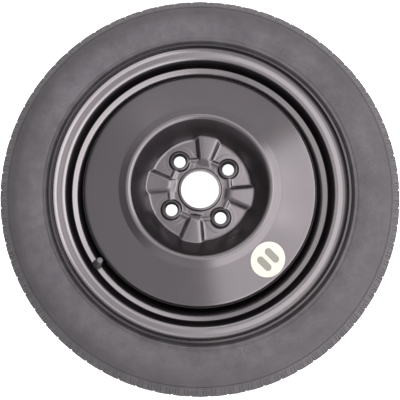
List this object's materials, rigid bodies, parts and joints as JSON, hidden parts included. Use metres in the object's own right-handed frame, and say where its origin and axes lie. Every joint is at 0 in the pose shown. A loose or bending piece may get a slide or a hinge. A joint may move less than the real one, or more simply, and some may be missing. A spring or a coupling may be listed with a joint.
{
  "type": "space saver spare wheel",
  "caption": "Temporary car wheel: narrow tyre on a black pressed steel wheel with a dished disc, ribbed hub pad, stud holes and a tyre valve with a screw cap.",
  "frame": {"origin": "centre of the hub mounting face, on the wheel's axis", "axes": "+Z along the wheel's axis, out of the car, through the front of the disc; +X and +Y in the mounting face"},
  "size_m": [0.581, 0.581, 0.1475],
  "materials": {
    "tyre_rubber": "matt moulded rubber with a little bloom",
    "black_steel": "satin black paint",
    "weld_steel": "black paint over rippled weld",
    "valve_rubber": "semi-matt rubber",
    "brass": "turned",
    "gasket": "matt",
    "spring_steel": "drawn wire",
    "cap_plastic": "satin moulded",
    "label_vinyl": "semi-matt vinyl"
  },
  "bodies": {
    "root": {"tyre": "tyre_rubber", "rim": "black_steel", "wheel_disc": "black_steel", "disc_welds": "weld_steel", "valve_body": "valve_rubber", "valve_stem": "brass", "core_barrel": "brass", "core_gasket": "gasket", "core_spring": "spring_steel", "sticker": "label_vinyl"},
    "cap_washer": {"cap_seal": "valve_rubber"},
    "cap": {"valve_cap": "cap_plastic"},
    "core_plunger": {"core_pin": "brass", "core_cup": "brass", "core_seal": "valve_rubber"}
  },
  "joints": [
    {"name": "cap_turn", "type": "hinge", "parent": "cap_washer", "child": "cap", "pos_m": [-0.13979, -0.10063, 0.01009], "axis": [0.3301, 0.2376, 0.9135], "range_deg": [0, 2160]},
    {"name": "cap_lift", "type": "slide", "parent": "root", "child": "cap_washer", "axis": [0.3301, 0.2376, 0.9135], "range_m": [0, 0.00476]},
    {"name": "core_push", "type": "slide", "parent": "root", "child": "core_plunger", "axis": [-0.3301, -0.2376, -0.9135], "range_m": [0, 0.0012], "stiffness_N_per_m": 400, "springref_m": -0.002, "deforming": ["core_spring"]}
  ],
  "couplings": [
    {"joint": "cap_turn", "follows": "cap_lift", "rad_per_m": 7915.8}
  ]
}
